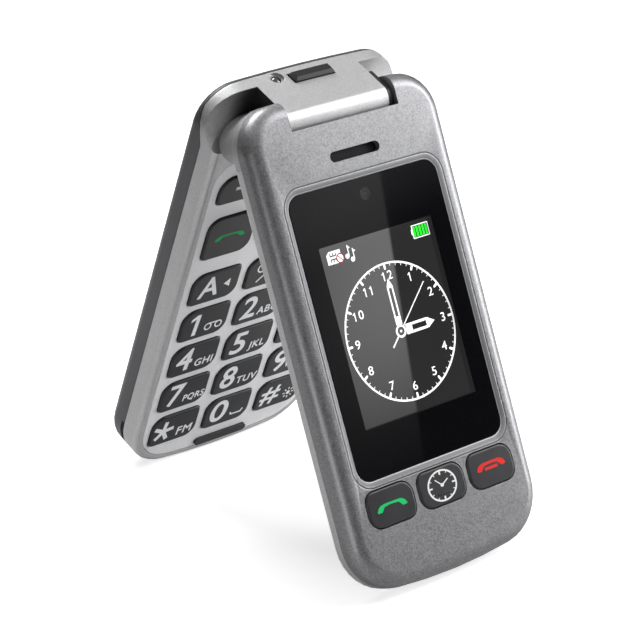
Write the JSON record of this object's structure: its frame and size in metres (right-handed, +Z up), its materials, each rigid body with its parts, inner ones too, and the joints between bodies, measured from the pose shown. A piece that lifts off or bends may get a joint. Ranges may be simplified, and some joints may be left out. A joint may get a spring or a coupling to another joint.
{
  "type": "flip phone",
  "caption": "Clamshell mobile phone with large keys, an outer clock display, a spring-barrel hinge, torch and push-button keypad, standing open as a tent on its free ends.",
  "frame": {"origin": "on the floor, midway across the width and midway between the front and rear of the standing phone", "axes": "+X along the hinge axis (to the right when the outer display is read), +Y from the lid half towards the keypad half, +Z up"},
  "size_m": [0.054, 0.0952, 0.1034],
  "materials": {
    "silver_paint": "fine metallic silver paint on moulded plastic",
    "grey_flake_paint": "metallic grey flake paint, satin",
    "cover_paint": "dark grey satin paint",
    "black_plastic": "moulded black plastic",
    "key_plastic": "dark key caps, satin gloss, light legends",
    "battery_label": "wrapped cell, blank label",
    "silicone": "moulded silicone",
    "bumper_rubber": "dark rubber",
    "dome_steel": "sprung steel discs",
    "shield_steel": "tinned sheet steel",
    "hinge_steel": "turned steel",
    "screw_steel": "blackened steel",
    "circuit_board": "green solder mask",
    "antenna_film": "plated film on a plastic carrier",
    "flex_film": "amber polyimide film",
    "led_white": "white lamp body",
    "torch_clear": "clear lens",
    "outer_glass": "black printed window with a clear field over the display",
    "inner_glass": "black printed window with a clear field over the display",
    "outer_display_panel": "lit display, white clock on dark grey",
    "inner_display_panel": "display, off",
    "mesh_black": "fine black mesh"
  },
  "bodies": {
    "base": {"base_front_case": "silver_paint", "base_chassis": "black_plastic", "battery_cover": "cover_paint", "battery": "battery_label", "keypad_plate": "silver_paint", "keypad_mat": "silicone", "snap_domes": "dome_steel", "main_board": "circuit_board", "rf_shield": "shield_steel", "vibration_motor": "shield_steel", "sim_holder": "shield_steel", "usb_connector": "shield_steel", "antenna": "antenna_film", "torch_led": "led_white", "torch_lens": "torch_clear", "hinge_barrel": "hinge_steel", "hinge_spring": "hinge_steel", "hinge_cap": "black_plastic", "hinge_flex": "flex_film", "base_screws": "screw_steel", "closing_bumper": "bumper_rubber"},
    "lid": {"lid_outer_shell": "grey_flake_paint", "lid_inner_bezel": "silver_paint", "outer_window": "outer_glass", "outer_display": "outer_display_panel", "inner_window": "inner_glass", "inner_display": "inner_display_panel", "lid_board": "circuit_board", "camera_module": "black_plastic", "earpiece": "black_plastic", "loudspeaker": "black_plastic", "speaker_mesh": "mesh_black", "outer_keymat": "silicone", "lid_screws": "screw_steel", "hinge_shaft": "hinge_steel"},
    "soft_key_left_body": {"soft_key_left": "key_plastic"},
    "soft_key_right_body": {"soft_key_right": "key_plastic"},
    "nav_ring_body": {"nav_ring": "key_plastic"},
    "ok_key_body": {"ok_key": "key_plastic"},
    "call_key_body": {"call_key": "key_plastic"},
    "end_key_body": {"end_key": "key_plastic"},
    "memory_key_body": {"memory_key": "key_plastic"},
    "contacts_key_body": {"contacts_key": "key_plastic"},
    "shortcut_key_body": {"shortcut_key": "key_plastic"},
    "key_1_body": {"key_1": "key_plastic"},
    "key_2_body": {"key_2": "key_plastic"},
    "key_3_body": {"key_3": "key_plastic"},
    "key_4_body": {"key_4": "key_plastic"},
    "key_5_body": {"key_5": "key_plastic"},
    "key_6_body": {"key_6": "key_plastic"},
    "key_7_body": {"key_7": "key_plastic"},
    "key_8_body": {"key_8": "key_plastic"},
    "key_9_body": {"key_9": "key_plastic"},
    "key_star_body": {"key_star": "key_plastic"},
    "key_0_body": {"key_0": "key_plastic"},
    "key_hash_body": {"key_hash": "key_plastic"},
    "outer_call_key_body": {"outer_call_key": "key_plastic"},
    "outer_clock_key_body": {"outer_clock_key": "key_plastic"},
    "outer_end_key_body": {"outer_end_key": "key_plastic"},
    "torch_button_body": {"torch_button": "key_plastic"}
  },
  "joints": [
    {"name": "lid_hinge", "type": "hinge", "parent": "base", "child": "lid", "pos_m": [0, -0.00153, 0.09596], "axis": [-1, 0, 0], "range_deg": [-45, 115]},
    {"name": "soft_key_left_press", "type": "slide", "parent": "base", "child": "soft_key_left_body", "axis": [0, 0.9327, 0.3607], "range_m": [0, 0.00035], "stiffness_N_per_m": 500},
    {"name": "soft_key_right_press", "type": "slide", "parent": "base", "child": "soft_key_right_body", "axis": [0, 0.9327, 0.3607], "range_m": [0, 0.00035], "stiffness_N_per_m": 500},
    {"name": "nav_ring_press", "type": "slide", "parent": "base", "child": "nav_ring_body", "axis": [0, 0.9327, 0.3607], "range_m": [0, 0.00035], "stiffness_N_per_m": 500},
    {"name": "ok_key_press", "type": "slide", "parent": "base", "child": "ok_key_body", "axis": [0, 0.9327, 0.3607], "range_m": [0, 0.00035], "stiffness_N_per_m": 500},
    {"name": "call_key_press", "type": "slide", "parent": "base", "child": "call_key_body", "axis": [0, 0.9327, 0.3607], "range_m": [0, 0.00035], "stiffness_N_per_m": 500},
    {"name": "end_key_press", "type": "slide", "parent": "base", "child": "end_key_body", "axis": [0, 0.9327, 0.3607], "range_m": [0, 0.00035], "stiffness_N_per_m": 500},
    {"name": "memory_key_press", "type": "slide", "parent": "base", "child": "memory_key_body", "axis": [0, 0.9327, 0.3607], "range_m": [0, 0.00035], "stiffness_N_per_m": 500},
    {"name": "contacts_key_press", "type": "slide", "parent": "base", "child": "contacts_key_body", "axis": [0, 0.9327, 0.3607], "range_m": [0, 0.00035], "stiffness_N_per_m": 500},
    {"name": "shortcut_key_press", "type": "slide", "parent": "base", "child": "shortcut_key_body", "axis": [0, 0.9327, 0.3607], "range_m": [0, 0.00035], "stiffness_N_per_m": 500},
    {"name": "key_1_press", "type": "slide", "parent": "base", "child": "key_1_body", "axis": [0, 0.9327, 0.3607], "range_m": [0, 0.00035], "stiffness_N_per_m": 500},
    {"name": "key_2_press", "type": "slide", "parent": "base", "child": "key_2_body", "axis": [0, 0.9327, 0.3607], "range_m": [0, 0.00035], "stiffness_N_per_m": 500},
    {"name": "key_3_press", "type": "slide", "parent": "base", "child": "key_3_body", "axis": [0, 0.9327, 0.3607], "range_m": [0, 0.00035], "stiffness_N_per_m": 500},
    {"name": "key_4_press", "type": "slide", "parent": "base", "child": "key_4_body", "axis": [0, 0.9327, 0.3607], "range_m": [0, 0.00035], "stiffness_N_per_m": 500},
    {"name": "key_5_press", "type": "slide", "parent": "base", "child": "key_5_body", "axis": [0, 0.9327, 0.3607], "range_m": [0, 0.00035], "stiffness_N_per_m": 500},
    {"name": "key_6_press", "type": "slide", "parent": "base", "child": "key_6_body", "axis": [0, 0.9327, 0.3607], "range_m": [0, 0.00035], "stiffness_N_per_m": 500},
    {"name": "key_7_press", "type": "slide", "parent": "base", "child": "key_7_body", "axis": [0, 0.9327, 0.3607], "range_m": [0, 0.00035], "stiffness_N_per_m": 500},
    {"name": "key_8_press", "type": "slide", "parent": "base", "child": "key_8_body", "axis": [0, 0.9327, 0.3607], "range_m": [0, 0.00035], "stiffness_N_per_m": 500},
    {"name": "key_9_press", "type": "slide", "parent": "base", "child": "key_9_body", "axis": [0, 0.9327, 0.3607], "range_m": [0, 0.00035], "stiffness_N_per_m": 500},
    {"name": "key_star_press", "type": "slide", "parent": "base", "child": "key_star_body", "axis": [0, 0.9327, 0.3607], "range_m": [0, 0.00035], "stiffness_N_per_m": 500},
    {"name": "key_0_press", "type": "slide", "parent": "base", "child": "key_0_body", "axis": [0, 0.9327, 0.3607], "range_m": [0, 0.00035], "stiffness_N_per_m": 500},
    {"name": "key_hash_press", "type": "slide", "parent": "base", "child": "key_hash_body", "axis": [0, 0.9327, 0.3607], "range_m": [0, 0.00035], "stiffness_N_per_m": 500},
    {"name": "outer_call_key_press", "type": "slide", "parent": "lid", "child": "outer_call_key_body", "axis": [0, 0.9146, -0.4044], "range_m": [0, 0.00035], "stiffness_N_per_m": 500},
    {"name": "outer_clock_key_press", "type": "slide", "parent": "lid", "child": "outer_clock_key_body", "axis": [0, 0.9146, -0.4044], "range_m": [0, 0.00035], "stiffness_N_per_m": 500},
    {"name": "outer_end_key_press", "type": "slide", "parent": "lid", "child": "outer_end_key_body", "axis": [0, 0.9146, -0.4044], "range_m": [0, 0.00035], "stiffness_N_per_m": 500},
    {"name": "torch_button_press", "type": "slide", "parent": "base", "child": "torch_button_body", "axis": [0, 0.3607, -0.9327], "range_m": [0, 0.0004], "stiffness_N_per_m": 500}
  ]
}
